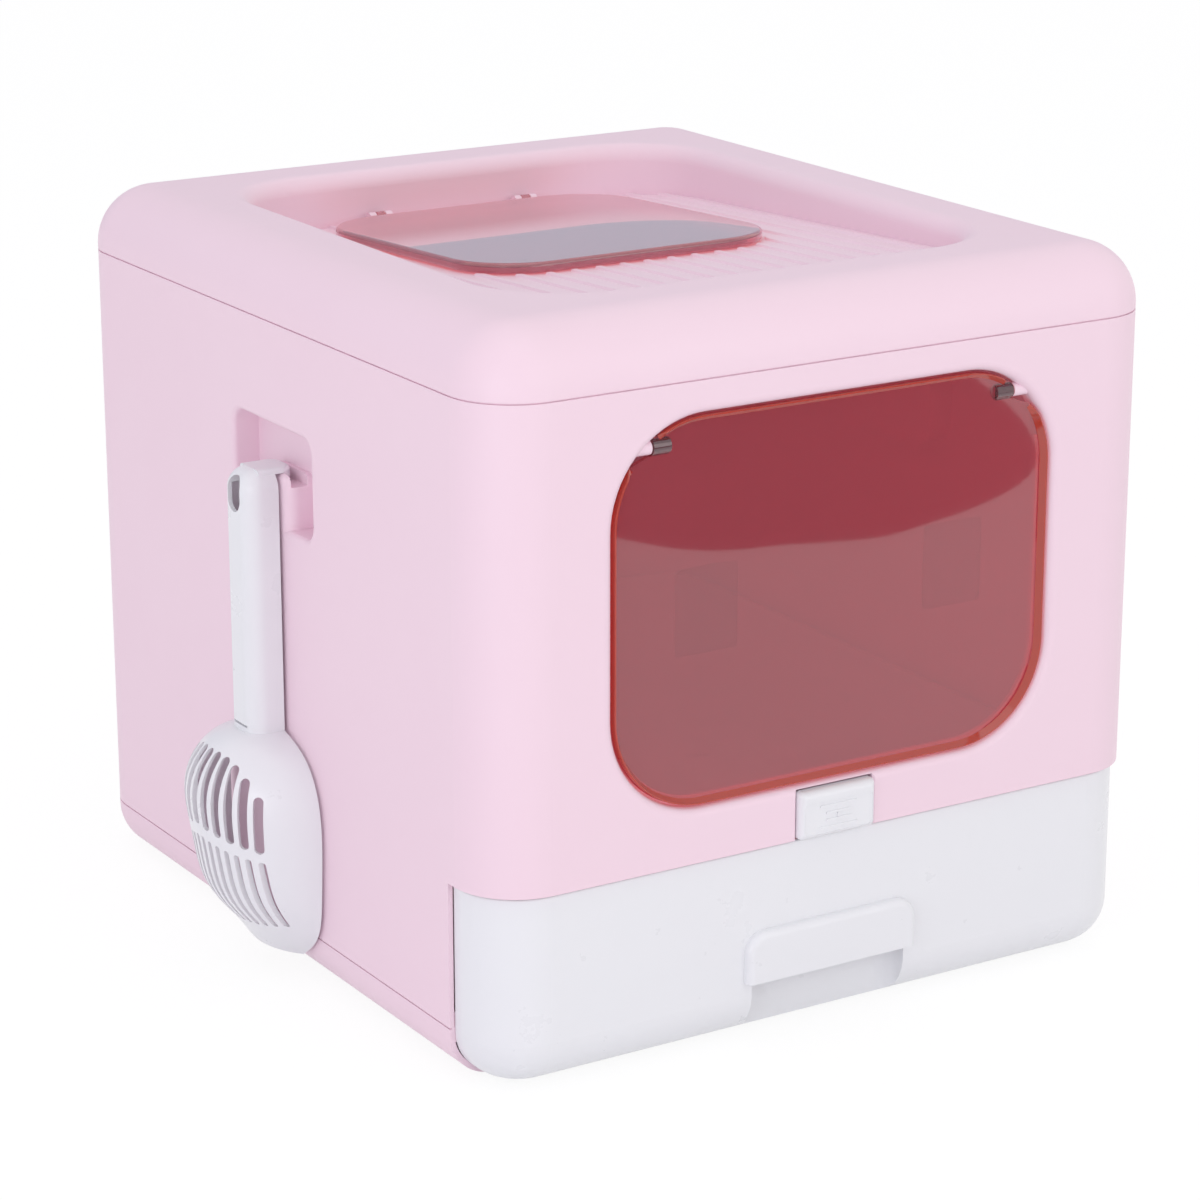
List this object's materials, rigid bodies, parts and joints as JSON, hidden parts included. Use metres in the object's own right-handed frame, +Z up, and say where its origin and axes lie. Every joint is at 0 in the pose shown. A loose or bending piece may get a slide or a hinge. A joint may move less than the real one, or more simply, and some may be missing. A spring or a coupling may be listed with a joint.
{
  "type": "top-entry litter box",
  "caption": "Enclosed cat litter box with a clear swing door in front, a clear flap in the sunken tread of its lid, a pull-out litter drawer and a scoop hung on its side.",
  "frame": {"origin": "on the floor, under the middle of the housing", "axes": "+Z up, -Y to the front with the swing door and the drawer, +X to the right seen from the front"},
  "size_m": [0.448, 0.454, 0.3834],
  "materials": {
    "pink_shell": "fine satin grain, pale pink",
    "white_plastic": "smooth semi-gloss white",
    "rose_clear": "clear, smoky rose tint",
    "pin_metal": "plain drawn wire"
  },
  "bodies": {
    "housing": {"base_tray": "pink_shell", "body_shell": "pink_shell", "front_flap_pin_left": "pin_metal", "front_flap_pin_right": "pin_metal", "latch_pin": "pin_metal"},
    "cover": {"lid": "pink_shell", "top_flap_pin_left": "pin_metal", "top_flap_pin_right": "pin_metal"},
    "entry_flap": {"top_flap": "rose_clear"},
    "door": {"front_flap": "rose_clear"},
    "litter_drawer": {"drawer": "white_plastic"},
    "latch": {"drawer_latch": "white_plastic"},
    "scoop": {"scoop_handle": "white_plastic", "scoop_bowl": "white_plastic"}
  },
  "joints": [
    {"name": "drawer_slide", "type": "slide", "parent": "housing", "child": "litter_drawer", "axis": [0, -1, 0], "range_m": [0, 0.32]},
    {"name": "door_swing", "type": "hinge", "parent": "housing", "child": "door", "pos_m": [0, -0.2185, 0.3179], "axis": [-1, 0, 0], "range_deg": [0, 90]},
    {"name": "entry_flap_lift", "type": "hinge", "parent": "cover", "child": "entry_flap", "pos_m": [0, 0.156, 0.35805], "axis": [-1, 0, 0], "range_deg": [0, 95]},
    {"name": "latch_swing", "type": "hinge", "parent": "housing", "child": "latch", "pos_m": [0, -0.2224, 0.1259], "axis": [-1, 0, 0], "range_deg": [0, 25]},
    {"name": "cover_lift", "type": "slide", "parent": "housing", "child": "cover", "axis": [0, 0, 1], "range_m": [0, 0.12]},
    {"name": "scoop_lift", "type": "slide", "parent": "housing", "child": "scoop", "axis": [0, 0, 1], "range_m": [0, 0.018]}
  ]
}
